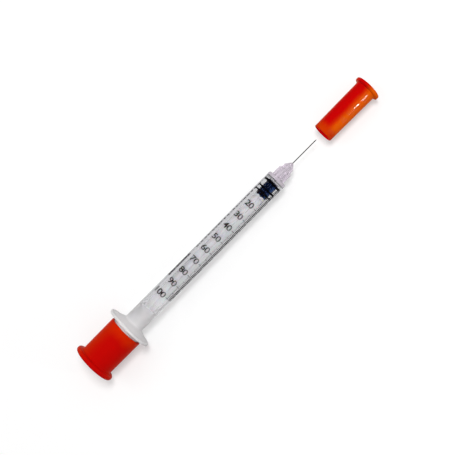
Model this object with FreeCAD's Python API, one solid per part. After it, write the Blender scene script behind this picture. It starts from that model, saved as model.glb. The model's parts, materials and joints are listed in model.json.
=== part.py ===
import FreeCAD, Part
import math
import os

from FreeCAD import Vector

# One millilitre insulin syringe, lying down with its needle shield pulled off.
#
# Every piece is drawn about the X axis first. X is 0 at the middle of the finger
# flange's rim and grows toward the needle. The whole syringe is then laid down:
# it rests on the lower flat of its finger flange and on the flange of its shield,
# so the needle end hangs a little lower. All sizes are in millimetres.

# Barrel
bore_radius = 2.363          # 57 mm of this bore hold one millilitre
barrel_wall = 1.6
bore_end = 75.4              # inner face of the front wall
front_wall = 0.8
nozzle_radius = 1.0          # short spigot that the needle hub sits on
nozzle_length = 2.4
mouth_chamfer = 0.5          # lead-in at the open end of the bore
bead_height = 0.11           # ring inside the mouth that stops the stopper
bead_length = 1.0
bead_setback = 3.0           # from the back of the flange to the bead

# Finger flange and the collar behind it
flange_radius = 9.3
flange_flat = 8.17           # from the axis to each of the two flats
rim_thickness = 1.0
rim_land = 0.15              # the cone starts this far inside the flats
flange_rise = 1.7            # how far the coned front face rises to the barrel
flange_fillet = 0.6
collar_length = 4.07
collar_wall = 1.0
edge_round = 0.3             # on outer edges that a hand touches

# Plunger cap, a cup over the thumb rest that plugs onto the collar
cap_bore_radius = 5.85
cap_wall = 0.95
cap_draft = 0.08             # the cup's outside is this much slimmer at the rim
cap_mouth_gap = 1.22         # from the flange's back to the cup's mouth
cap_length = 17.5
cap_end_wall = 1.1
cap_rim_radius = 8.5
cap_rim_thickness = 1.9
cap_fit = 0.05               # radial clearance on the collar

# Plunger rod
rod_radius = 2.15            # over its four ribs
rib_thickness = 1.2
head_radius = 2.2
head_thickness = 1.0
neck_radius = 0.7
neck_length = 1.0
barb_radius = 1.15
barb_tip_radius = 0.55
barb_length = 2.0
thumb_radius = 5.0
thumb_thickness = 1.3
thumb_setback = 0.5          # from the thumb rest to the end wall of the cup
thumb_gusset = 1.6
grip_ring_height = 0.2
grip_ring_width = 0.5
grip_ring_pitch = 1.1
grip_ring_count = 3

# Stopper
stopper_front_gap = 0.2      # from the stopper to the front wall, plunger home
stopper_length = 6.9
stopper_groove_depth = 0.24  # from a rib to the body between the ribs
stopper_clearance = 0.02     # running clearance in the bore
front_rib_length = 1.0
middle_rib_place = 3.8       # from the stopper's front to the middle of the rib
rear_rib_place = 5.6
rib_length = 0.8
rib_round = 0.12
barb_clearance = 0.02

# Needle hub
hub_collar_thickness = 1.25
hub_collar_round = 0.6
hub_core_radius = 1.75
hub_fin_radius = 2.75
hub_fin_length = 4.0
hub_step_length = 0.5
hub_small_core_radius = 1.2
hub_small_fin_radius = 2.03
hub_small_fin_length = 1.4
hub_tip_radius = 0.55
hub_cone_length = 1.8
hub_fin_thickness = 0.7
hub_well_radius = 0.42
hub_well_depth = 0.8
bond_line = 0.01             # gap that glue or a weld fills

# Needle
needle_radius = 0.18
lumen_radius = 0.1
needle_exposed = 12.7        # from the hub's tip to the point
needle_root = 0.3            # from the bore's front wall to the needle's back end
bevel_angle = 12.0
lancet_angle = 18.0
lancet_turn = 32.0
lancet_share_of_bevel = 0.45

# Needle shield, pulled off and lying in line with the needle
shield_gap = 3.0             # from the needle's point to the shield's mouth
shield_length = 24.0
shield_mouth_radius = 3.93
shield_end_radius = 4.18
shield_flange_radius = 5.3
shield_flange_thickness = 1.3
shield_mouth_wall = 0.45
shield_lead_in = 1.5
shield_fit = 0.05            # radial clearance on the hub's fins
shield_grip_length = 5.0
shield_deep_radius = 2.55
shield_end_wall = 1.4
shield_stop_gap = 0.05       # between its mouth and the hub's collar when it is on

# Places along the axis that several pieces share
barrel_radius = bore_radius + barrel_wall
flange_back = -rim_thickness / 2
rim_front = rim_thickness / 2
flange_front = rim_front + flange_rise
barrel_front = bore_end + front_wall
nozzle_end = barrel_front + nozzle_length
hub_collar_front = barrel_front + hub_collar_thickness
hub_fin_end = hub_collar_front + hub_fin_length
hub_small_fin_start = hub_fin_end + hub_step_length
hub_small_fin_end = hub_small_fin_start + hub_small_fin_length
hub_tip = hub_small_fin_end + hub_cone_length
needle_tip = hub_tip + needle_exposed
needle_back = bore_end + needle_root
shield_mouth = needle_tip + shield_gap
shield_end = shield_mouth + shield_length
collar_back = flange_back - collar_length
collar_radius = cap_bore_radius - cap_fit
cap_mouth = flange_back - cap_mouth_gap
cap_end = cap_mouth - cap_length
cap_floor = cap_end + cap_end_wall
thumb_back = cap_floor + thumb_setback
thumb_front = thumb_back + thumb_thickness
stopper_front = bore_end - stopper_front_gap
stopper_back = stopper_front - stopper_length
stopper_radius = bore_radius - stopper_clearance
stopper_body_radius = stopper_radius - stopper_groove_depth
bead_back = flange_back + bead_setback
bead_front = bead_back + bead_length

# How far each moving body travels from its place here
plunger_travel = stopper_back - bead_front - 0.3
cap_travel = cap_mouth - thumb_back + 1.0
shield_travel = shield_mouth - hub_collar_front - shield_stop_gap

axis_start = Vector(0, 0, 0)
axis_direction = Vector(1, 0, 0)


def outline(corners):
    """Closed face in the XZ plane through corners (x, r, rounding), each with its own rounding."""
    places = [Vector(x, 0, r) for x, r, rounding in corners]
    firsts = []
    lasts = []
    arcs = []
    for number, (x, r, rounding) in enumerate(corners):
        here = places[number]
        back = (places[number - 1] - here).normalize()
        on = (places[(number + 1) % len(places)] - here).normalize()
        if rounding == 0:
            firsts.append(here)
            lasts.append(here)
            arcs.append(None)
            continue
        half = back.getAngle(on) / 2
        reach = rounding / math.tan(half)
        inward = (back + on).normalize()
        middle = here + inward * (rounding / math.sin(half) - rounding)
        firsts.append(here + back * reach)
        lasts.append(here + on * reach)
        arcs.append(Part.Arc(firsts[-1], middle, lasts[-1]).toShape())
    edges = []
    for number, arc in enumerate(arcs):
        if arc is not None:
            edges.append(arc)
        start = lasts[number]
        end = firsts[(number + 1) % len(places)]
        if start.distanceToPoint(end) > 1e-6:
            edges.append(Part.makeLine(start, end))
    return Part.Face(Part.Wire(edges))


def turned(corners):
    """Solid of revolution about the X axis."""
    return outline(corners).revolve(axis_start, axis_direction, 360)


def rod(radius, start, end):
    """Plain cylinder on the X axis."""
    return Part.makeCylinder(radius, end - start, Vector(start, 0, 0), axis_direction)


def turn_about_axis(shape, degrees):
    """Copy of a shape turned about the X axis."""
    copy = shape.copy()
    copy.rotate(axis_start, axis_direction, degrees)
    return copy


def barrel():
    """Barrel moulded in one with the finger flange, the cap's collar and the nozzle."""
    body = turned([
        (flange_back, bore_radius + mouth_chamfer, 0),
        (flange_back + mouth_chamfer, bore_radius, 0),
        (bead_back, bore_radius, 0),
        (bead_back + bead_length / 2, bore_radius - bead_height, 0),
        (bead_front, bore_radius, 0),
        (bore_end, bore_radius, 0.15),
        (bore_end, needle_radius + bond_line, 0),
        (nozzle_end, needle_radius + bond_line, 0),
        (nozzle_end, nozzle_radius, 0.15),
        (barrel_front, nozzle_radius, 0),
        (barrel_front, barrel_radius, 0.12),
        (flange_front, barrel_radius, flange_fillet),
        (rim_front, flange_flat - rim_land, 0),
        (rim_front, flange_radius, edge_round),
        (flange_back, flange_radius, edge_round),
        (flange_back, collar_radius, 0),
        (collar_back, collar_radius, edge_round),
        (collar_back, collar_radius - collar_wall, edge_round),
        (flange_back, collar_radius - collar_wall, 0.2),
    ])
    width = 2 * flange_radius
    for side in (1, -1):
        low = flange_flat if side > 0 else -flange_flat - width
        beyond = Part.makeBox(width, 2 * width, width, Vector(-width / 2, -width, low))
        body = body.cut(beyond)
    return body


def needle_hub():
    """Hub that holds the needle, with four stepped fins that grip the shield."""
    core = turned([
        (barrel_front, 0, 0),
        (barrel_front, barrel_radius, 0.12),
        (hub_collar_front, barrel_radius, hub_collar_round),
        (hub_collar_front, hub_core_radius, 0.2),
        (hub_fin_end, hub_core_radius, 0),
        (hub_small_fin_start, hub_small_core_radius, 0),
        (hub_small_fin_end, hub_small_core_radius, 0),
        (hub_tip, hub_tip_radius, 0),
        (hub_tip, 0, 0),
    ])
    fin = outline([
        (hub_collar_front - hub_collar_round, 0, 0),
        (hub_collar_front - hub_collar_round, hub_fin_radius, 0),
        (hub_fin_end, hub_fin_radius, 0.25),
        (hub_small_fin_start, hub_small_fin_radius, 0.2),
        (hub_small_fin_end, hub_small_fin_radius, 0.2),
        (hub_tip, hub_tip_radius, 0),
        (hub_tip, 0, 0),
    ])
    fin.translate(Vector(0, -hub_fin_thickness / 2, 0))
    plate = fin.extrude(Vector(0, hub_fin_thickness, 0))
    fins = [turn_about_axis(plate, 90 * quarter) for quarter in range(4)]
    body = core.fuse(fins).removeSplitter()
    socket = rod(nozzle_radius + bond_line, barrel_front, nozzle_end + bond_line)
    passage = rod(needle_radius + bond_line, barrel_front, hub_tip)
    well = Part.makeCone(
        needle_radius + bond_line, hub_well_radius, hub_well_depth,
        Vector(hub_tip - hub_well_depth, 0, 0), axis_direction,
    )
    return body.cut([socket, passage, well])


def needle():
    """Steel tube with a main bevel and two lancet facets."""
    tube = rod(needle_radius, needle_back, needle_tip)
    tube = tube.cut(rod(lumen_radius, needle_back, needle_tip))
    heel = 2 * needle_radius / math.tan(math.radians(bevel_angle))
    block = Part.makeBox(3 * heel, 2, 2, Vector(-3 * heel, -1, 0))
    bevel = block.copy()
    bevel.rotate(axis_start, Vector(0, 1, 0), bevel_angle)
    bevel.translate(Vector(needle_tip, 0, -needle_radius))
    facets = [bevel]
    lancet_start = needle_tip - lancet_share_of_bevel * heel
    for side in (1, -1):
        facet = block.copy()
        facet.rotate(axis_start, Vector(0, 1, 0), lancet_angle)
        facet.translate(Vector(needle_tip, 0, -needle_radius))
        facet = turn_about_axis(facet, side * lancet_turn)
        beyond_start = Part.makeBox(heel, 2, 2, Vector(lancet_start, -1, -1))
        facets.append(facet.common(beyond_start))
    return tube.cut(facets)


def needle_bond():
    """Bead of glue that fills the well in the hub's tip."""
    return turned([
        (hub_tip - hub_well_depth + 0.1, needle_radius + bond_line / 2, 0),
        (hub_tip, hub_well_radius - bond_line, 0),
        (hub_tip + 0.2, needle_radius + bond_line / 2, 0),
    ])


def barb(clearance):
    """Barbed end of the rod, or with a clearance the pocket it snaps into."""
    start = stopper_back
    neck_end = start + neck_length
    return turned([
        (start, 0, 0),
        (start, neck_radius + clearance, 0),
        (neck_end - clearance, neck_radius + clearance, 0),
        (neck_end - clearance, barb_radius + clearance, 0),
        (neck_end + barb_length + clearance, barb_tip_radius + clearance, 0),
        (neck_end + barb_length + clearance, 0, 0),
    ])


def plunger_rod():
    """Cross-ribbed rod with its thumb rest, its front disc and the stopper's barb."""
    head_back = stopper_back - head_thickness
    rib = Part.makeBox(
        head_back - thumb_front, 2 * rod_radius, rib_thickness,
        Vector(thumb_front, -rod_radius, -rib_thickness / 2),
    )
    cross = rib.fuse(turn_about_axis(rib, 90)).common(rod(rod_radius, thumb_front, head_back))
    head = turned([
        (head_back, 0, 0),
        (head_back, head_radius, 0.15),
        (stopper_back, head_radius, 0.15),
        (stopper_back, 0, 0),
    ])
    thumb = turned([
        (thumb_front, 0, 0),
        (thumb_back, 0, 0),
        (thumb_back, thumb_radius, 0.4),
        (thumb_front, thumb_radius, 0.4),
    ])
    gusset = Part.makeCone(
        rod_radius + thumb_gusset / 2, rod_radius / 2, thumb_gusset,
        Vector(thumb_front, 0, 0), axis_direction,
    )
    rings = []
    for number in range(grip_ring_count):
        inner = thumb_radius - 0.9 - grip_ring_width - number * grip_ring_pitch
        rings.append(turned([
            (thumb_back - grip_ring_height, inner, 0.1),
            (thumb_back - grip_ring_height, inner + grip_ring_width, 0.1),
            (thumb_front, inner + grip_ring_width, 0),
            (thumb_front, inner, 0),
        ]))
    return cross.fuse([head, thumb, gusset, barb(0)] + rings).removeSplitter()


def stopper():
    """Rubber piston with three sealing ribs."""
    def rib_edges(middle, length):
        """Corners of one rib, from its front edge to its back edge."""
        front = middle + length / 2
        back = middle - length / 2
        return [
            (front, stopper_body_radius, 0),
            (front, stopper_radius, rib_round),
            (back, stopper_radius, rib_round),
            (back, stopper_body_radius, 0),
        ]

    corners = [
        (stopper_front, 0, 0),
        (stopper_front, stopper_radius - 0.35, 0.2),
        (stopper_front - 0.25, stopper_radius, 0.1),
        (stopper_front - front_rib_length, stopper_radius, rib_round),
        (stopper_front - front_rib_length, stopper_body_radius, 0),
    ]
    corners += rib_edges(stopper_front - middle_rib_place, rib_length)
    corners += rib_edges(stopper_front - rear_rib_place, rib_length)
    corners += [
        (stopper_back, stopper_body_radius, 0.2),
        (stopper_back, 0, 0),
    ]
    return turned(corners).cut(barb(barb_clearance))


def plunger_cap():
    """Red cup with a rounded rim at its closed end."""
    outer = cap_bore_radius + cap_wall
    rim_front_face = cap_end + cap_rim_thickness
    return turned([
        (cap_end, 0, 0),
        (cap_end, cap_rim_radius, cap_rim_thickness * 0.45),
        (rim_front_face, cap_rim_radius, cap_rim_thickness * 0.45),
        (rim_front_face, outer - cap_draft, 0.2),
        (cap_mouth, outer, 0.25),
        (cap_mouth, cap_bore_radius, 0.25),
        (cap_floor, cap_bore_radius, 0.5),
        (cap_floor, 0, 0),
    ])


def needle_shield():
    """Tapered sleeve, open at the needle's side, with a flange at its closed end."""
    flange_start = shield_end - shield_flange_thickness
    grip_radius = hub_fin_radius + shield_fit
    mouth_bore = shield_mouth_radius - shield_mouth_wall
    return turned([
        (shield_mouth, mouth_bore, 0.2),
        (shield_mouth, shield_mouth_radius, 0.2),
        (flange_start, shield_end_radius, 0.2),
        (flange_start, shield_flange_radius, edge_round),
        (shield_end, shield_flange_radius, edge_round),
        (shield_end, 0, 0),
        (shield_end - shield_end_wall, 0, 0),
        (shield_end - shield_end_wall, shield_deep_radius, 0.8),
        (shield_mouth + shield_lead_in + shield_grip_length, grip_radius, 0),
        (shield_mouth + shield_lead_in, grip_radius, 0),
    ])


def resting_tilt():
    """Angle in degrees by which the needle end hangs lower when the syringe lies down.

    The line that carries it goes from the front edge of the flange's lower flat to
    the rounded outer edge of the shield's flange.
    """
    run = shield_end - edge_round - rim_front
    rise = flange_flat - (shield_flange_radius - edge_round)
    slope = math.atan2(rise, run) - math.asin(edge_round / math.hypot(run, rise))
    return math.degrees(slope)


makers = {
    "barrel": barrel,
    "needle_hub": needle_hub,
    "needle": needle,
    "needle_bond": needle_bond,
    "plunger_rod": plunger_rod,
    "stopper": stopper,
    "plunger_cap": plunger_cap,
    "needle_shield": needle_shield,
}
pieces = {name: make() for name, make in makers.items()}

# Lay the syringe down: tilt it, then put the floor at Z = 0 and its middle at X = 0
tilt = resting_tilt()
tilted = FreeCAD.Placement(Vector(0, 0, 0), FreeCAD.Rotation(Vector(0, 1, 0), tilt))
for piece in pieces.values():
    piece.transformShape(tilted.toMatrix())
box = Part.makeCompound(list(pieces.values())).optimalBoundingBox(False, False)
shift = Vector(-(box.XMin + box.XMax) / 2, 0, -box.ZMin)

os.makedirs("parts", exist_ok=True)
for name, piece in pieces.items():
    piece.translate(shift)
    piece.exportStep(f"parts/{name}.step")
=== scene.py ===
import json
import math

import bmesh
import bpy
import numpy as np
from mathutils import Matrix, Vector


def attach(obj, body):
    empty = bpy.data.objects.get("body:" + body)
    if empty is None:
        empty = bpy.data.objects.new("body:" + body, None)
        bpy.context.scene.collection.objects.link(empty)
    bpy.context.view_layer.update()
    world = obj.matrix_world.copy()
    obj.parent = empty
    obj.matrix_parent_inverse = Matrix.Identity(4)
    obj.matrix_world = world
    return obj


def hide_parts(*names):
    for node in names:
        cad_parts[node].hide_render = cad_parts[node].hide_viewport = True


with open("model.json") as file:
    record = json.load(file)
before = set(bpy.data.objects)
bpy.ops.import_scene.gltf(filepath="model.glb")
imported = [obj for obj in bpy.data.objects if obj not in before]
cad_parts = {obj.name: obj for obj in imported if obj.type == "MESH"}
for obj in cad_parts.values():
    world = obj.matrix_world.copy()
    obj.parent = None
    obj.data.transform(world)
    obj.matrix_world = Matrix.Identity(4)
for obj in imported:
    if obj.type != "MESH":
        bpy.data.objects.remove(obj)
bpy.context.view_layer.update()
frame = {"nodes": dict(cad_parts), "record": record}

# Sizes in millimetres along and about the syringe's own axis. Along it, 0 is the
# middle of the finger flange's rim, and the needle is on the positive side.

# Barrel, flange and collar
BORE = 2.363
BARREL = 3.963
BORE_END = 75.4
BARREL_FRONT = 76.2
NOZZLE = 1.0
NOZZLE_END = 78.6
PASSAGE = 0.19
MOUTH_CHAMFER = 0.5
FLANGE_BACK = -0.5
RIM_FRONT = 0.5
FLANGE_FRONT = 2.2
FLANGE = 9.3
FLAT = 8.17
LAND = 8.02
COLLAR = 5.8
COLLAR_INSIDE = 4.8
COLLAR_BACK = -4.57
BEAD_BACK = 2.5
BEAD_FRONT = 3.5
BEAD_HEIGHT = 0.11

# Plunger cap
CUP_MOUTH = -1.72
CUP_END = -19.22
CUP_FLOOR = -18.12
CUP_BORE = 5.85
CUP_OUTSIDE = 6.8
CUP_DRAFT = 0.08
CUP_RIM = 8.5
CUP_RIM_LENGTH = 1.9
CUP_RIM_ROUND = CUP_RIM_LENGTH * 0.45
CUP_HOLLOW = 0.15
CUP_HOLLOW_STEP = 0.6

# Plunger rod and stopper
THUMB_BACK = -17.62
THUMB_FRONT = -16.32
THUMB = 5.0
GRIP_RINGS = (1.4, 2.5, 3.6)
GRIP_RING_WIDTH = 0.5
GRIP_RING_HEIGHT = 0.2
GUSSET_END = -14.72
GUSSET_SPREAD = 0.8
ROD_REACH = 2.15
ROD_CORE = 0.8
RIB_HALF = 0.6
HEAD = 2.2
HEAD_LENGTH = 1.0
STOPPER_BACK = 68.3
STOPPER_FRONT = 75.2
STOPPER = 2.368
STOPPER_BODY = 2.28
STOPPER_NOSE = 0.35
STOPPER_NOSE_LENGTH = 0.2
STOPPER_FRONT_RIB = 1.15
STOPPER_RIBS = ((3.4, 4.2), (5.2, 6.0))
STOPPER_RIB_SLOPE = 0.1
NECK = 0.7
NECK_END = 69.3
BARB = 1.15
BARB_TIP = 0.55
BARB_END = 71.3
BARB_GAP = 0.02

# Needle hub
HUB_COLLAR_FRONT = 77.45
HUB_CORE = 1.75
HUB_FIN = 2.75
HUB_FIN_END = 81.45
HUB_SMALL_FIN_START = 81.95
HUB_SMALL_FIN_END = 83.35
HUB_SMALL_CORE = 1.2
HUB_SMALL_FIN = 2.03
HUB_FIN_HALF = 0.35
HUB_TIP = 85.15
HUB_TIP_RADIUS = 0.55
HUB_WELL = 0.42
HUB_WELL_DEPTH = 0.8
HUB_GAP = 0.01
HUB_FIN_EASE = 0.1

# Needle shield
SHIELD_MOUTH = 100.85
SHIELD_END = 124.85
SHIELD_MOUTH_RADIUS = 3.93
SHIELD_MOUTH_BORE = 3.48
SHIELD_GRIP = 2.8
SHIELD_GRIP_START = 102.35
SHIELD_GRIP_END = 107.35
SHIELD_DEEP = 2.55
SHIELD_FLOOR = 123.45
SHIELD_FLANGE_START = 123.55
SHIELD_BODY_END = 4.18
SHIELD_FLANGE = 5.3

# Printed scale. Its turns are angles about the barrel, in degrees from straight up toward the far side
SCALE_END = 100
UNIT = 0.57
SCALE_ZERO = 74.6
INK_LOW = -0.006
INK_HIGH = 0.012
TICK_FOOT = -91.0
LONG_TICK = -36.5
MEDIUM_TICK = -45.5
SHORT_TICK = -56.5
FIFTH_TICK_HALF = 0.12
SHORT_TICK_HALF = 0.165
NUMBER_FOOT = -29.5
NUMBER_SIZE = 3.15
NUMBER_STRETCH = 1.22
NUMBER_SPACING = 0.94
NUMBER_WEIGHT = 0.055
NUMBER_REACH = 7.0
BEND_STEP = 0.25

# Each row of plain bars: its start and end, the usual gap between bars, and the turns of its two edges
BAR_ROWS = ((24.2, 35.4, 0.12, 42.0, 57.5), (38.6, 72.0, 0.55, 45.0, 54.5))
BAR_SHORTEST = 0.35
BAR_LONGEST = 1.5

# The syringe's axis in the frame: a start point, and the directions along, across and up
marks = {mount["name"]: mount for mount in frame["record"]["mounts"]}
along = np.array(marks["barrel_outside"]["axis"])
across = np.array([0.0, 1.0, 0.0])
upward = np.array([-along[2], 0.0, along[0]])
start = np.array(marks["cap_end"]["pos_m"]) - along * CUP_END / 1000


def lay(points):
    """Points given in millimetres about the syringe's axis, as places in the frame in metres."""
    return start + (points[..., :1] * along + points[..., 1:2] * across + points[..., 2:] * upward) / 1000


def rounded(corners, steps=5):
    """Profile through corners (x, r, rounding), in which each rounding is an arc tangent to both sides.

    The arc's centre lies on the corner's bisector, rounding / sin of half the corner's
    angle away. Just outside each arc a point on the straight side keeps the shading of
    long faces flat.
    """
    support = 0.03
    rows = []
    places = np.array([[x, r] for x, r, rounding in corners], float)
    for number, here in enumerate(places):
        rounding = corners[number][2]
        if rounding == 0:
            rows.append(here[None])
            continue
        back = places[number - 1] - here
        on = places[(number + 1) % len(places)] - here
        back_length = np.linalg.norm(back)
        on_length = np.linalg.norm(on)
        back = back / back_length
        on = on / on_length
        half = math.acos(np.clip(back @ on, -1, 1)) / 2
        reach = rounding / math.tan(half)
        inward = (back + on) / np.linalg.norm(back + on)
        centre = here + inward * rounding / math.sin(half)
        first = here + back * reach - centre
        last = here + on * reach - centre
        turn = math.atan2(first[0] * last[1] - first[1] * last[0], first @ last)
        angles = np.linspace(0, turn, steps + 1)
        arc = np.stack([
            first[0] * np.cos(angles) - first[1] * np.sin(angles),
            first[0] * np.sin(angles) + first[1] * np.cos(angles),
        ], -1) + centre
        before = here + back * min(reach + support, back_length * 0.5)
        after = here + on * min(reach + support, on_length * 0.5)
        rows += [before[None], arc, after[None]]
    return np.concatenate(rows)


def turned(name, profile, around, form=None):
    """Surface of revolution: each profile point (x, r) goes to (x, r cos angle, r sin angle).

    around is a count of even steps, or the angles themselves. form(x, r, angle) may
    change the radius with the angle. A profile that starts and ends on the axis is
    closed by poles, and any other one closes on itself.
    """
    angle = np.arange(around) * 2 * math.pi / around if np.isscalar(around) else around
    x = np.repeat(profile[:, :1], len(angle), 1)
    r = np.repeat(profile[:, 1:2], len(angle), 1)
    if form is not None:
        r = form(x, r, angle[None])
    grid = np.stack([x, r * np.cos(angle), r * np.sin(angle)], -1)
    return shell(name, grid, closed=profile[0, 1] > 0)


def shell(name, grid, closed):
    """Mesh through a grid of points whose rows follow a profile and whose columns go round."""
    rows, around = grid.shape[:2]
    index = np.arange(rows * around).reshape(rows, around)
    if closed:
        index = np.vstack([index, index[:1]])
    near = index[:-1]
    far = index[1:]
    quads = np.stack([near, far, np.roll(far, -1, 1), np.roll(near, -1, 1)], -1).reshape(-1, 4)
    return solid(name, grid.reshape(-1, 3), quads)


def solid(name, points, faces):
    """Object from points about the axis in millimetres, with its doubles merged and faces outward."""
    mesh = bpy.data.meshes.new(name)
    mesh.from_pydata(lay(np.asarray(points, float)).tolist(), [], faces.tolist())
    work = bmesh.new()
    work.from_mesh(mesh)
    bmesh.ops.remove_doubles(work, verts=work.verts, dist=1e-8)
    bmesh.ops.recalc_face_normals(work, faces=work.faces)
    if work.calc_volume(signed=True) < 0:
        bmesh.ops.reverse_faces(work, faces=work.faces)
    work.to_mesh(mesh)
    work.free()
    mesh.polygons.foreach_set("use_smooth", np.ones(len(mesh.polygons), bool))
    piece = bpy.data.objects.new(name, mesh)
    bpy.context.scene.collection.objects.link(piece)
    return piece


def soft_least(first, second, sharpness):
    """The lesser of two radii, with a small round where they meet.

    It is the sum of their powers of -sharpness, to the power -1 / sharpness.
    """
    return (first ** -sharpness + second ** -sharpness) ** (-1 / sharpness)


def soft_most(first, second, sharpness):
    """The greater of two radii, with a small round where they meet.

    It is the sum of their powers of sharpness, to the power 1 / sharpness.
    """
    return (first ** sharpness + second ** sharpness) ** (1 / sharpness)


def fin_reach(tip, half, angle):
    """Radius of a cross of four fins: tip on a fin's end, and half / sin of the angle on its sides."""
    off = np.abs((angle + math.pi / 4) % (math.pi / 2) - math.pi / 4)
    return soft_least(tip, half / np.maximum(np.sin(off), 1e-4), sharpness=24)


def fin_angles(half, tip, fine=9, coarse=13):
    """Angles round a four-finned section: even steps over a fin's end, cosine steps between two fins."""
    edge = math.asin(half / tip)
    top = np.linspace(-edge, edge, fine)
    side = edge + (math.pi / 2 - 2 * edge) * (1 - np.cos(np.linspace(0, math.pi, coarse))) / 2
    quarter = np.concatenate([top, side[1:-1]])
    return np.concatenate([quarter + turn * math.pi / 2 for turn in range(4)])


class Link:
    """A socket of a node tree. Arithmetic on it adds Math nodes."""

    def __init__(self, nodes, socket):
        self.nodes = nodes
        self.socket = socket

    def math(self, operation, *values):
        return self.nodes.node("ShaderNodeMath", {"operation": operation}, dict(enumerate(values)))

    def __add__(self, other):
        return self.math("ADD", self, other)

    def __radd__(self, other):
        return self.math("ADD", other, self)

    def __sub__(self, other):
        return self.math("SUBTRACT", self, other)

    def __rsub__(self, other):
        return self.math("SUBTRACT", other, self)

    def __mul__(self, other):
        return self.math("MULTIPLY", self, other)

    def __rmul__(self, other):
        return self.math("MULTIPLY", other, self)

    def __truediv__(self, other):
        return self.math("DIVIDE", self, other)

    def __rtruediv__(self, other):
        return self.math("DIVIDE", other, self)

    def __pow__(self, other):
        return self.math("POWER", self, other)

    def ramp(self, low, high):
        """0 up to low, 1 from high on, and a smooth change between. It falls where high is below low."""
        return self.nodes.node(
            "ShaderNodeMapRange", {"interpolation_type": "SMOOTHSTEP"},
            {"Value": self, "From Min": low, "From Max": high},
        )


class Nodes:
    """A node tree to which nodes are added with their settings and sockets."""

    def __init__(self, tree):
        self.tree = tree

    def feed(self, socket, value):
        """Joins a link to a socket, or sets the socket to a number or colour."""
        if isinstance(value, Link):
            self.tree.links.new(value.socket, socket)
        elif isinstance(value, tuple) and len(value) == 3 and socket.type == "RGBA":
            socket.default_value = (*value, 1)
        else:
            socket.default_value = value

    def node(self, kind, settings=None, inputs=None, output=0):
        """Any node: its settings, then the values or links of its sockets."""
        made = self.tree.nodes.new(kind)
        for name, value in (settings or {}).items():
            setattr(made, name, value)
        for name, value in (inputs or {}).items():
            self.feed(made.inputs[name], value)
        return Link(self, made.outputs[output])


class Finish(Nodes):
    """Material of one real finish, made of nodes on Object coordinates."""

    def __init__(self, name, **constants):
        self.material = bpy.data.materials.new(name)
        self.material.use_nodes = True
        super().__init__(self.material.node_tree)
        self.shader = self.tree.nodes["Principled BSDF"]
        for label, value in constants.items():
            self.shader.inputs[label.replace("_", " ")].default_value = value
        self.place = self.node("ShaderNodeTexCoord", output="Object")
        self.main = Link(self, self.shader.outputs[0])

    def mixed(self, factor, first, second):
        """Colour between two colours."""
        values = {0: factor, 6: first, 7: second}
        return self.node("ShaderNodeMix", {"data_type": "RGBA"}, values, output=2)

    def noise(self, scale, detail, stretch=(1, 1, 1)):
        """Noise with so many lumps to a metre, stretched along the frame's axes."""
        spread = self.node("ShaderNodeMapping", {}, {"Vector": self.place, "Scale": stretch})
        return self.node("ShaderNodeTexNoise", {}, {"Vector": spread, "Scale": scale, "Detail": detail})

    def reading(self, direction):
        """Millimetres from the start of the syringe's axis in one direction."""
        ends = {0: self.place, 1: tuple(start)}
        moved = self.node("ShaderNodeVectorMath", {"operation": "SUBTRACT"}, ends)
        pair = {0: moved, 1: tuple(direction * 1000)}
        return self.node("ShaderNodeVectorMath", {"operation": "DOT_PRODUCT"}, pair, output="Value")

    def radius(self):
        """Millimetres from the syringe's axis, kept a little above 0 so that it can divide."""
        side = self.reading(across)
        height = self.reading(upward)
        return (side * side + height * height + 0.0001) ** 0.5

    def show(self, shader):
        """Makes a shader the material's surface."""
        self.tree.links.new(shader.socket, self.tree.nodes["Material Output"].inputs["Surface"])

    def mix_in(self, other, amount):
        """Puts another shader in place of part of the main one."""
        self.show(self.node("ShaderNodeMixShader", {}, {0: amount, 1: self.main, 2: other}))

    def set(self, **links):
        """Feeds sockets of the main shader."""
        for label, value in links.items():
            self.feed(self.shader.inputs[label.replace("_", " ")], value)

    def bump(self, height, distance, strength):
        """Raises the surface in shading by a height between 0 and 1 times a distance in metres."""
        values = {"Height": height, "Distance": distance, "Strength": strength}
        self.set(Normal=self.node("ShaderNodeBump", {}, values))


def clear_plastic():
    """Clear polypropylene: see-through along the tube, and milky toward the flange, where it is thick. Its
    near side is painted lighter, which is painted light.
    """
    finish = Finish(
        "clear_barrel_plastic", Transmission_Weight=1.0, IOR=1.55, Specular_Tint=(0.05, 0.05, 0.05, 1),
    )
    cloud = finish.noise(180, 3, (0.25, 1, 1))
    # 1 at the flange and 0 well up the tube, 1 on the outer wall, and 1 on the near side, which is painted
    # lighter as painted light
    thick = 1 - finish.reading(along).ramp(2.0, 15.0)
    outside = finish.radius().ramp(2.6, 3.4)
    painted_light_side = finish.reading(across).ramp(1.2, -2.2)
    grey = finish.mixed(cloud, (0.59, 0.59, 0.61), (0.64, 0.64, 0.655))
    skin_painted_lighter_near = finish.mixed(painted_light_side, grey, (0.69, 0.69, 0.70))
    clear = finish.mixed(outside, (0.97, 0.97, 0.98), skin_painted_lighter_near)
    finish.set(
        Base_Color=finish.mixed(thick, clear, (0.96, 0.95, 0.95)),
        Roughness=0.03 + cloud * 0.03,
    )
    finish.bump(finish.noise(400, 1, (0.2, 1, 1)), 0.000004, 0.05)
    # The milky colour is also painted lighter on the near side, as painted light
    tube = finish.mixed(painted_light_side, (0.74, 0.73, 0.745), (0.87, 0.855, 0.865))
    milk = finish.mixed(finish.reading(along).ramp(1.0, 4.5), (0.93, 0.91, 0.915), tube)
    milky = finish.node("ShaderNodeBsdfPrincipled", {}, {
        "Base Color": milk, "Roughness": 0.35, "Transmission Weight": 0.2, "Specular IOR Level": 0.2,
    })
    finish.mix_in(milky, thick * 0.85)
    return finish.material


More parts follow.
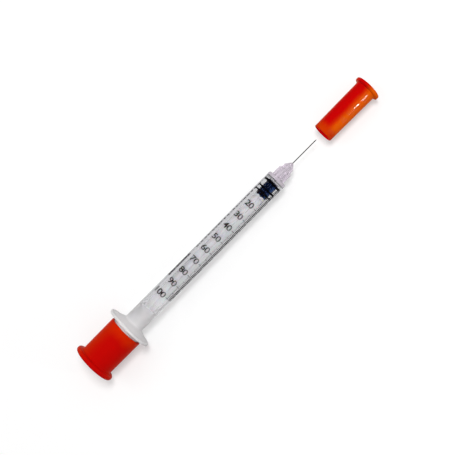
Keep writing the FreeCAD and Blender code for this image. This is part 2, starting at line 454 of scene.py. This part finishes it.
def hub_plastic():
    """Translucent plastic of the hub, a little lilac."""
    finish = Finish(
        "translucent_hub_plastic", Transmission_Weight=0.5, IOR=1.45, Specular_Tint=(0.2, 0.2, 0.2, 1),
    )
    cloud = finish.noise(400, 2)
    finish.set(
        Base_Color=finish.mixed(cloud, (0.74, 0.665, 0.75), (0.84, 0.78, 0.85)),
        Roughness=0.05 + cloud * 0.05,
    )
    finish.bump(finish.noise(1500, 1), 0.000004, 0.05)
    return finish.material


def steel():
    """Drawn steel tube with fine lines along it."""
    finish = Finish("needle_steel", Metallic=1.0)
    lines = finish.noise(9000, 2, (0.02, 1, 1))
    finish.set(
        Base_Color=finish.mixed(lines, (0.04, 0.03, 0.028), (0.13, 0.11, 0.10)),
        Roughness=0.22 + lines * 0.2,
    )
    finish.bump(lines, 0.000003, 0.3)
    return finish.material


def glue():
    """Clear cured glue."""
    finish = Finish("bond_glue", Transmission_Weight=0.8, IOR=1.5)
    cloud = finish.noise(3000, 2)
    finish.set(
        Base_Color=finish.mixed(cloud, (0.75, 0.72, 0.8), (0.9, 0.88, 0.92)),
        Roughness=0.08 + cloud * 0.1,
    )
    finish.bump(cloud, 0.00001, 0.4)
    return finish.material


def white_plastic():
    """Natural white plastic of the plunger rod."""
    finish = Finish("white_rod_plastic", Subsurface_Weight=0.15, Subsurface_Scale=0.001, IOR=1.5)
    cloud = finish.noise(350, 3, (0.3, 1, 1))
    finish.set(
        Base_Color=finish.mixed(cloud, (0.88, 0.88, 0.90), (0.94, 0.94, 0.95)),
        Roughness=0.32 + cloud * 0.15,
    )
    finish.bump(finish.noise(3000, 2), 0.00001, 0.3)
    return finish.material


def rubber():
    """Rubber: black where a rib is pressed to the bore, navy between the ribs, and paler on the near side
    as a painted highlight.
    """
    finish = Finish("stopper_rubber", Specular_IOR_Level=0.03)
    pressed = finish.radius().ramp(2.31, 2.35)
    mottle = finish.noise(1500, 3)
    dark_navy = finish.mixed(mottle.ramp(0.35, 0.75), (0.0003, 0.003, 0.018), (0.001, 0.012, 0.06))
    navy_painted_highlight = finish.mixed(mottle.ramp(0.35, 0.75), (0.012, 0.035, 0.12), (0.035, 0.075, 0.20))
    # Toward the near side the navy turns paler: a painted highlight
    navy = finish.mixed(finish.reading(across).ramp(-0.9, -2.0), dark_navy, navy_painted_highlight)
    finish.set(
        Base_Color=finish.mixed(pressed, navy, (0.001, 0.001, 0.003)),
        Roughness=0.35 + mottle * 0.25,
    )
    finish.bump(mottle, 0.00002, 0.35)
    return finish.material


def dyed_plastic(name, band_colour, painted_glow_colour, thin, painted_light_turn, painted_light_width, mouth, mouth_depth, roughness):
    """Dyed cap plastic with painted light: a dark red band facing one way about the axis, a painted orange
    glow on the other sides, and a thin colour at the mouth.

    painted_light_turn is the band's angle about the axis from straight up and painted_light_width how
    far it reaches to either side, in degrees. The thin colour reaches mouth_depth inward,
    counted along the axis.
    """
    finish = Finish(
        name, Subsurface_Weight=0.1, Subsurface_Radius=(1.0, 0.12, 0.02), Subsurface_Scale=0.0008,
        IOR=1.5, Specular_IOR_Level=0.02,
    )
    turn = math.radians(painted_light_turn)
    toward = upward * math.cos(turn) + across * math.sin(turn)
    radius = finish.radius()
    # Inside the sleeve's radius the painted light band fades, so that it has no point in the middle of an
    # end face
    facing = finish.reading(toward) / radius.math("MAXIMUM", radius, SHIELD_MOUTH_RADIUS)
    wave = finish.noise(160, 3, (0.35, 1, 1))
    painted_light_band = (facing + (wave - 0.5) * 0.35).ramp(math.cos(math.radians(painted_light_width)), 0.98)
    depth = (finish.reading(along) - mouth) * (1 / mouth_depth)
    # The dark red band and the orange glow on the other sides are painted light
    body = finish.mixed(painted_light_band, painted_glow_colour, band_colour)
    outside = finish.mixed((depth + (wave - 0.5) * 0.5).ramp(0.15, 0.9), thin, body)
    # Just inside the sleeve's mouth the bore is painted a strong red, a painted glow of light through the
    # thin wall
    painted_glow_inside_mouth = (1 - radius.ramp(3.45, 3.75)) * (1 - depth.ramp(1.2, 1.8))
    grain = finish.noise(1400, 2)
    finish.set(
        Base_Color=finish.mixed(painted_glow_inside_mouth, outside, (0.95, 0.000, 0.002)),
        Roughness=roughness + grain * 0.06,
    )
    finish.bump(grain, 0.000012, 0.25)
    return finish


def polished(finish, turn, width):
    """Adds polished patches along a line at an angle about the axis, in degrees from straight up."""
    turn = math.radians(turn)
    toward = upward * math.cos(turn) + across * math.sin(turn)
    facing = finish.reading(toward) / finish.radius()
    line = facing.ramp(math.cos(math.radians(width)), math.cos(math.radians(width * 0.7)))
    patches = finish.noise(330, 2, (1, 0.3, 0.3)).ramp(0.46, 0.54)
    finish.set(Coat_Weight=line * patches, Coat_Roughness=0.06)
    return finish


def ink():
    """Dark matt print, a little uneven, and fainter on the lower halves of the numbers."""
    finish = Finish("scale_ink", Specular_IOR_Level=0.0)
    wear = finish.noise(2600, 3)
    side = finish.reading(across)
    faint = side.ramp(0.5, -1.2) * (1 - side.ramp(-2.3, -3.2))
    finish.set(
        Base_Color=finish.mixed(wear.ramp(0.35, 0.8), (0.004, 0.003, 0.004), (0.020, 0.014, 0.018)),
        Roughness=0.7 + wear * 0.2, Alpha=1 - faint * 0.55,
    )
    return finish.material


def barrel_shell():
    """Barrel with its flange. Outside the land, the flange's radius is cut short to its two flats."""
    profile = rounded([
        (FLANGE_BACK, BORE + MOUTH_CHAMFER, 0.08),
        (FLANGE_BACK + MOUTH_CHAMFER, BORE, 0.08),
        (BEAD_BACK, BORE, 0.1),
        ((BEAD_BACK + BEAD_FRONT) / 2, BORE - BEAD_HEIGHT, 0.3),
        (BEAD_FRONT, BORE, 0.1),
        (BORE_END, BORE, 0.15),
        (BORE_END, PASSAGE, 0.05),
        (NOZZLE_END, PASSAGE, 0.03),
        (NOZZLE_END, NOZZLE, 0.15),
        (BARREL_FRONT, NOZZLE, 0.05),
        (BARREL_FRONT, BARREL, 0.12),
        (FLANGE_FRONT, BARREL, 0.6),
        (RIM_FRONT, LAND, 0.3),
        (RIM_FRONT, FLANGE, 0.3),
        (FLANGE_BACK, FLANGE, 0.3),
        (FLANGE_BACK, COLLAR, 0.05),
        (COLLAR_BACK, COLLAR, 0.3),
        (COLLAR_BACK, COLLAR_INSIDE, 0.3),
        (FLANGE_BACK, COLLAR_INSIDE, 0.2),
    ])

    def flats(x, r, angle):
        """The part of the radius beyond the land shrinks so that the rim ends at the flats."""
        side = FLAT / np.maximum(np.abs(np.sin(angle)), 1e-3)
        reach = soft_least(FLANGE, side, sharpness=120)
        beyond = np.maximum(r - LAND, 0) * (reach - LAND) / (FLANGE - LAND)
        return np.minimum(r, LAND) + beyond

    return turned("clear_barrel", profile, around=288, form=flats)


def hub_shell():
    """Hub: a round collar, then a core with four fins in two steps, and a cone to the tip."""
    profile = rounded([
        (BARREL_FRONT, NOZZLE + HUB_GAP, 0.05),
        (BARREL_FRONT, BARREL, 0.12),
        (HUB_COLLAR_FRONT, BARREL, 0.6),
        (HUB_COLLAR_FRONT, HUB_CORE, 0.15),
        (HUB_FIN_END, HUB_CORE, 0.15),
        (HUB_SMALL_FIN_START, HUB_SMALL_CORE, 0.15),
        (HUB_SMALL_FIN_END, HUB_SMALL_CORE, 0.15),
        (HUB_TIP, HUB_TIP_RADIUS, 0.06),
        (HUB_TIP, HUB_WELL, 0.04),
        (HUB_TIP - HUB_WELL_DEPTH, PASSAGE, 0.03),
        (NOZZLE_END + HUB_GAP, PASSAGE, 0.03),
        (NOZZLE_END + HUB_GAP, NOZZLE + HUB_GAP, 0.04),
    ])
    fin_steps = np.array([
        (HUB_COLLAR_FRONT - 0.01, 0.1),
        (HUB_COLLAR_FRONT, HUB_FIN),
        (HUB_FIN_END - HUB_FIN_EASE, HUB_FIN),
        (HUB_SMALL_FIN_START, HUB_SMALL_FIN),
        (HUB_SMALL_FIN_END - HUB_FIN_EASE, HUB_SMALL_FIN),
        (HUB_TIP, HUB_TIP_RADIUS),
    ])
    # Rows are added between the collar and the tip, so that the fins follow their steps closely
    tip_row = np.argmax((profile[:, 0] >= HUB_TIP - 1e-6) & (profile[:, 1] < HUB_TIP_RADIUS + 1e-6))
    body = profile[:tip_row]
    extra = np.linspace(HUB_COLLAR_FRONT + 0.02, HUB_TIP - 0.1, 60)
    start_row = np.argmax((body[:, 0] >= HUB_COLLAR_FRONT - 1e-6) & (body[:, 1] <= HUB_CORE + 0.5))
    core_x = np.union1d(body[start_row:, 0], extra)
    core_r = np.interp(core_x, body[start_row:, 0], body[start_row:, 1])
    profile = np.concatenate([body[:start_row], np.stack([core_x, core_r], -1), profile[tip_row:]])
    finned = np.zeros(len(profile), bool)
    finned[start_row:start_row + len(core_x)] = True

    def fins(x, r, angle):
        """The greater of the core's radius and the cross of fins, on the rows past the collar."""
        tip = np.interp(x, fin_steps[:, 0], fin_steps[:, 1])
        cross = fin_reach(tip, HUB_FIN_HALF, angle)
        return np.where(finned[:, None], soft_most(r, cross, sharpness=18), r)

    return turned("hub_body", profile, around=fin_angles(HUB_FIN_HALF, HUB_FIN), form=fins)


def rod_shell():
    """Rod: four ribs the whole way, a disc and barb in front, and a ringed thumb rest behind."""
    ring_top = THUMB_BACK - GRIP_RING_HEIGHT
    rings = []
    for inner in GRIP_RINGS:
        outer = inner + GRIP_RING_WIDTH
        rings += [
            (THUMB_BACK, inner, 0.05),
            (ring_top, inner, 0.1),
            (ring_top, outer, 0.1),
            (THUMB_BACK, outer, 0.05),
        ]
    head_back = STOPPER_BACK - HEAD_LENGTH
    profile = rounded([(THUMB_BACK, 0, 0)] + rings + [
        (THUMB_BACK, THUMB, 0.4),
        (THUMB_FRONT, THUMB, 0.4),
        (THUMB_FRONT, ROD_REACH + GUSSET_SPREAD, 0.2),
        (GUSSET_END, ROD_CORE, 0.3),
        (head_back, ROD_CORE, 0.1),
        (head_back, HEAD, 0.15),
        (STOPPER_BACK, HEAD, 0.15),
        (STOPPER_BACK, NECK, 0.05),
        (NECK_END, NECK, 0.05),
        (NECK_END, BARB, 0.05),
        (BARB_END, BARB_TIP, 0.05),
        (BARB_END, 0, 0),
    ])
    ribbed = (profile[:, 0] > THUMB_FRONT - 0.001) & (profile[:, 0] < head_back + 0.001)

    def ribs(x, r, angle):
        """The greater of the core's radius and the cross of ribs, between the thumb rest and the disc."""
        cross = fin_reach(ROD_REACH, RIB_HALF, angle)
        return np.where(ribbed[:, None], soft_most(r, cross, sharpness=14), r)

    return turned("ribbed_rod", profile, around=fin_angles(RIB_HALF, ROD_REACH), form=ribs)


def stopper_shell():
    """Stopper: three ribs on a round body, hollow where the barb sits."""
    ribs = []
    for front, back in STOPPER_RIBS:
        ribs += [
            (STOPPER_FRONT - front, STOPPER_BODY, 0.03),
            (STOPPER_FRONT - front - STOPPER_RIB_SLOPE, STOPPER, 0.03),
            (STOPPER_FRONT - back + STOPPER_RIB_SLOPE, STOPPER, 0.03),
            (STOPPER_FRONT - back, STOPPER_BODY, 0.03),
        ]
    profile = rounded([
        (STOPPER_FRONT, 0, 0),
        (STOPPER_FRONT, STOPPER - STOPPER_NOSE, 0.2),
        (STOPPER_FRONT - STOPPER_NOSE_LENGTH, STOPPER, 0.1),
        (STOPPER_FRONT - STOPPER_FRONT_RIB, STOPPER, 0.03),
        (STOPPER_FRONT - STOPPER_FRONT_RIB, STOPPER_BODY, 0.03),
    ] + ribs + [
        (STOPPER_BACK, STOPPER_BODY, 0.2),
        (STOPPER_BACK, NECK + BARB_GAP, 0.05),
        (NECK_END - BARB_GAP, NECK + BARB_GAP, 0.05),
        (NECK_END - BARB_GAP, BARB + BARB_GAP, 0.05),
        (BARB_END + BARB_GAP, BARB_TIP + BARB_GAP, 0.05),
        (BARB_END + BARB_GAP, 0, 0),
    ])
    return turned("rubber_stopper", profile, around=96)


def cup_shell():
    """Plunger cap: a cup with a round rim at its closed end and a shallow hollow in the end face."""
    rim_front = CUP_END + CUP_RIM_LENGTH
    profile = rounded([
        (CUP_END + CUP_HOLLOW, 0, 0),
        (CUP_END + CUP_HOLLOW, CUP_BORE - CUP_HOLLOW_STEP, 0.3),
        (CUP_END, CUP_BORE, 0.3),
        (CUP_END, CUP_RIM, CUP_RIM_ROUND),
        (rim_front, CUP_RIM, CUP_RIM_ROUND),
        (rim_front, CUP_OUTSIDE - CUP_DRAFT, 0.8),
        (CUP_MOUTH, CUP_OUTSIDE, 0.25),
        (CUP_MOUTH, CUP_BORE, 0.25),
        (CUP_FLOOR, CUP_BORE, 0.5),
        (CUP_FLOOR, 0, 0),
    ], steps=8)
    return turned("red_cup", profile, around=160)


def sleeve_shell():
    """Needle shield: a tapered sleeve with a flange at its closed end."""
    profile = rounded([
        (SHIELD_FLOOR, 0, 0),
        (SHIELD_FLOOR, SHIELD_DEEP, 0.8),
        (SHIELD_GRIP_END, SHIELD_GRIP, 0.3),
        (SHIELD_GRIP_START, SHIELD_GRIP, 0.3),
        (SHIELD_MOUTH, SHIELD_MOUTH_BORE, 0.12),
        (SHIELD_MOUTH, SHIELD_MOUTH_RADIUS, 0.3),
        (SHIELD_FLANGE_START, SHIELD_BODY_END, 0.45),
        (SHIELD_FLANGE_START, SHIELD_FLANGE, 0.3),
        (SHIELD_END, SHIELD_FLANGE, 0.3),
        (SHIELD_END, 0, 0),
    ], steps=8)
    return turned("orange_sleeve", profile, around=160)


def arc_bars(name, middles, halves, first_turns, last_turns, stations=12):
    """Thin printed bars bent round the barrel, one for each middle, each a closed strip.

    The corners at a turn lie half a bar's width before and behind the middle along the
    axis, and at (radius sin turn, radius cos turn) for the ink's outer and inner radius.
    """
    share = np.linspace(0, 1, stations)[None, :]
    turns = np.radians(first_turns[:, None] * (1 - share) + last_turns[:, None] * share)[..., None]
    offset = np.array([-1, 1, 1, -1])
    height = BARREL + np.array([INK_HIGH, INK_HIGH, INK_LOW, INK_LOW])
    x = middles[:, None, None] + halves[:, None, None] * offset + 0 * turns
    y = height * np.sin(turns)
    z = height * np.cos(turns)
    points = np.stack([x, y, z], -1)
    count = len(middles)
    index = np.arange(count * stations * 4).reshape(count, stations, 4)
    near = index[:, :-1]
    far = index[:, 1:]
    sides = np.stack([near, np.roll(near, -1, 2), np.roll(far, -1, 2), far], -1).reshape(-1, 4)
    ends = np.concatenate([index[:, 0], index[:, -1, ::-1]])
    return solid(name, points.reshape(-1, 3), np.concatenate([sides, ends]))


def scale_ticks():
    """One tick for each unit from 0 to 100, longer at every fifth and longest at every tenth."""
    units = np.arange(SCALE_END + 1)
    fifth = units % 5 == 0
    tops = np.where(units % 10 == 0, LONG_TICK, np.where(fifth, MEDIUM_TICK, SHORT_TICK))
    feet = np.full(len(units), TICK_FOOT)
    halves = np.where(fifth, FIFTH_TICK_HALF, SHORT_TICK_HALF)
    return arc_bars("scale_ticks", SCALE_ZERO - units * UNIT, halves, tops, feet)


def plain_bars():
    """Two rows of plain bars of uneven length along the barrel's far side."""
    chance = np.random.default_rng(7)
    bars = []
    for low, high, gap, first, last in BAR_ROWS:
        place = low
        while place < high:
            length = chance.uniform(BAR_SHORTEST, BAR_LONGEST)
            bars.append((place, min(place + length, high), first, last))
            place += length + gap * chance.uniform(0.7, 1.6)
    begin, end, first, last = np.array(bars).T
    return arc_bars("plain_bars", (begin + end) / 2, (end - begin) / 2, first, last, stations=5)


def scale_numbers():
    """Numbers 10 to 100 bent round the barrel, tops toward the needle, ends at the ticks.

    A flat letter point (u, v, w), with u from -width to 0, goes to the turn foot - u / radius,
    to v along the axis and to w above the middle of the ink.
    """
    work = bmesh.new()
    for number in range(10, SCALE_END + 1, 10):
        curve = bpy.data.curves.new(f"number_{number}", "FONT")
        curve.body = str(number)
        curve.align_x = "RIGHT"
        curve.align_y = "CENTER"
        curve.size = NUMBER_SIZE
        curve.space_character = NUMBER_SPACING
        curve.offset = NUMBER_WEIGHT
        curve.extrude = (INK_HIGH - INK_LOW) / 2
        curve.resolution_u = 4
        holder = bpy.data.objects.new(curve.name, curve)
        bpy.context.scene.collection.objects.link(holder)
        drawn = holder.evaluated_get(bpy.context.evaluated_depsgraph_get())
        flat = bpy.data.meshes.new_from_object(drawn)
        bpy.data.objects.remove(holder)
        bpy.data.curves.remove(curve)
        flat.transform(Matrix.Diagonal((NUMBER_STRETCH, 1, 1, 1)))
        flat.transform(Matrix.Translation((0, SCALE_ZERO - number * UNIT, 0)))
        work.from_mesh(flat)
        bpy.data.meshes.remove(flat)
    bmesh.ops.remove_doubles(work, verts=work.verts, dist=1e-4)
    for place in np.arange(-NUMBER_REACH, 0.0, BEND_STEP):
        bmesh.ops.bisect_plane(
            work, geom=work.verts[:] + work.edges[:] + work.faces[:],
            plane_co=(place, 0, 0), plane_no=(1, 0, 0), dist=1e-5,
        )
    bmesh.ops.triangulate(work, faces=work.faces)
    mesh = bpy.data.meshes.new("scale_numbers")
    work.to_mesh(mesh)
    work.free()
    points = np.empty(len(mesh.vertices) * 3)
    mesh.vertices.foreach_get("co", points)
    points = points.reshape(-1, 3)
    turn = math.radians(NUMBER_FOOT) - points[:, 0] / BARREL
    height = BARREL + (INK_HIGH + INK_LOW) / 2 + points[:, 2]
    bent = lay(np.stack([points[:, 1], height * np.sin(turn), height * np.cos(turn)], -1))
    mesh.vertices.foreach_set("co", bent.ravel())
    mesh.update()
    piece = bpy.data.objects.new("scale_numbers", mesh)
    bpy.context.scene.collection.objects.link(piece)
    return piece


def dress(piece, material, body, node):
    """Gives a piece its material, body and slot, and hides the node it stands for, if any."""
    piece.data.materials.append(material)
    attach(piece, body)
    if node:
        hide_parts(node)


def redress(node, material):
    """Gives a carried-over node a better material."""
    for place in frame["nodes"][node].material_slots:
        place.material = material


dress(barrel_shell(), clear_plastic(), "barrel_unit", "barrel")
dress(hub_shell(), hub_plastic(), "barrel_unit", "needle_hub")
dress(rod_shell(), white_plastic(), "plunger", "plunger_rod")
dress(stopper_shell(), rubber(), "plunger", "stopper")
# The cap's colours are painted light: a wide dark red band about its top, and a painted orange glow on its
# sides
dress(
    cup_shell(),
    dyed_plastic(
        "red_cup_plastic", (0.51, 0.002, 0.001), (0.57, 0.020, 0.000), (0.58, 0.016, 0.000), -24, 84,
        CUP_MOUTH, -6, 0.3,
    ).material,
    "plunger_cap", "plunger_cap",
)
# The shield's colours are painted light: a dark red band along its upper side, and a painted orange glow
# below it
dress(
    sleeve_shell(),
    polished(dyed_plastic(
        "orange_sleeve_plastic", (0.53, 0.001, 0.001), (0.74, 0.100, 0.000), (0.57, 0.034, 0.000), 20, 60,
        SHIELD_MOUTH, 5, 0.3,
    ), -40, 20).material,
    "needle_shield", "needle_shield",
)
redress("needle", steel())
redress("needle_bond", glue())
print_ink = ink()
for print_piece in (scale_ticks(), scale_numbers(), plain_bars()):
    dress(print_piece, print_ink, "barrel_unit", None)

# Floor, world and lamps. Each level is for the camera, for gloss, for glass or for the light given
FLOOR_GLOW = 0.38
FLOOR_FAR_GLOW = 0.6
FLOOR_THROUGH = 0.32
WORLD_LIGHT = 0.45
WORLD_SEEN = 1.0
WORLD_GLOSS = 0.15
WORLD_THROUGH = 2.0

# The glint lamp's place and target, in millimetres about the syringe's axis
GLINT_PLACE = np.array([174.0, -276.0, 117.0])
GLINT_TARGET = np.array([116.0, 0.0, 0.0])


def stage_floor():
    """White floor. To a camera it also glows a little, so that it reads white with a soft shadow on it."""
    bpy.ops.mesh.primitive_plane_add(size=6)
    floor = bpy.context.object
    floor.name = "floor"
    finish = Finish("floor_white", Roughness=0.9, Specular_IOR_Level=0.0)
    tint = finish.noise(3, 2)
    finish.set(Base_Color=finish.mixed(tint, (0.60, 0.60, 0.60), (0.61, 0.61, 0.61)))
    seen = finish.node("ShaderNodeLightPath", output="Is Camera Ray")
    passed = finish.node("ShaderNodeLightPath", output="Is Transmission Ray")
    distance = finish.node(
        "ShaderNodeVectorMath", {"operation": "LENGTH"}, {0: finish.place}, output="Value",
    )
    level = seen * (FLOOR_GLOW + distance.ramp(0.1, 0.7) * FLOOR_FAR_GLOW) + passed * FLOOR_THROUGH
    glow = finish.node("ShaderNodeEmission", {}, {"Color": (1.0, 1.0, 1.0), "Strength": level})
    finish.show(finish.node("ShaderNodeAddShader", {}, {0: finish.main, 1: glow}))
    floor.data.materials.append(finish.material)


def stage_world():
    """White world, with one level for the light that it gives and others for what is seen of it.

    Gloss, glass and the camera each see it at their own level.
    """
    world = bpy.data.worlds.new("studio")
    bpy.context.scene.world = world
    world.use_nodes = True
    nodes = Nodes(world.node_tree)
    level = WORLD_LIGHT
    others = {
        "Is Glossy Ray": WORLD_GLOSS,
        "Is Transmission Ray": WORLD_THROUGH,
        "Is Camera Ray": WORLD_SEEN,
    }
    for label, other in others.items():
        path = nodes.node("ShaderNodeLightPath", output=label)
        level = path * other + (1 - path) * level
    back = nodes.tree.nodes["Background"]
    nodes.feed(back.inputs["Color"], (1.0, 1.0, 1.0))
    nodes.feed(back.inputs["Strength"], level)


def lamp(name, place, target, size, power, mirrored=False):
    """Square area lamp at a place in metres, turned to a target.

    Gloss shows only a mirrored lamp, and what is seen through glass shows none.
    """
    data = bpy.data.lights.new(name, "AREA")
    data.shape = "SQUARE"
    data.size = size
    data.energy = power
    holder = bpy.data.objects.new(name, data)
    bpy.context.scene.collection.objects.link(holder)
    holder.location = place
    holder.rotation_euler = (Vector(target) - Vector(place)).to_track_quat("-Z", "Y").to_euler()
    holder.visible_glossy = mirrored
    holder.visible_transmission = False


stage_floor()
stage_world()
lamp("key_lamp", (0.14, 0.03, 0.7), (0, 0, 0), 0.2, 2.95)
lamp("fill_lamp", (-0.35, 0.5, 0.6), (0, 0, 0), 0.5, 0.7)
lamp("glint_lamp", lay(GLINT_PLACE), lay(GLINT_TARGET), 0.02, 0.09, mirrored=True)

# Camera: above the syringe, a little on its near side, with the needle to the upper right
LOOK_AT = 51.6
LOOK_ASIDE = 0.4
SIDE_LEAN = 13.0
NEEDLE_ANGLE = 45.2
DISTANCE = 0.34
LENS = 73.0
lean = math.radians(SIDE_LEAN)
back_way = upward * math.cos(lean) - across * math.sin(lean)
left_way = np.cross(back_way, along)
angle = math.radians(NEEDLE_ANGLE)
right_way = along * math.cos(angle) - left_way * math.sin(angle)
up_way = along * math.sin(angle) + left_way * math.cos(angle)
target = start + (along * LOOK_AT + left_way * LOOK_ASIDE) / 1000
camera_data = bpy.data.cameras.new("camera")
camera_data.lens = LENS
camera_data.clip_start = 0.01
camera = bpy.data.objects.new("camera", camera_data)
bpy.context.scene.collection.objects.link(camera)
pose = Matrix(np.column_stack([right_way, up_way, back_way]).tolist()).to_4x4()
pose.translation = Vector(target + back_way * DISTANCE)
camera.matrix_world = pose
bpy.context.scene.camera = camera

bpy.context.scene.view_settings.view_transform = "Standard"
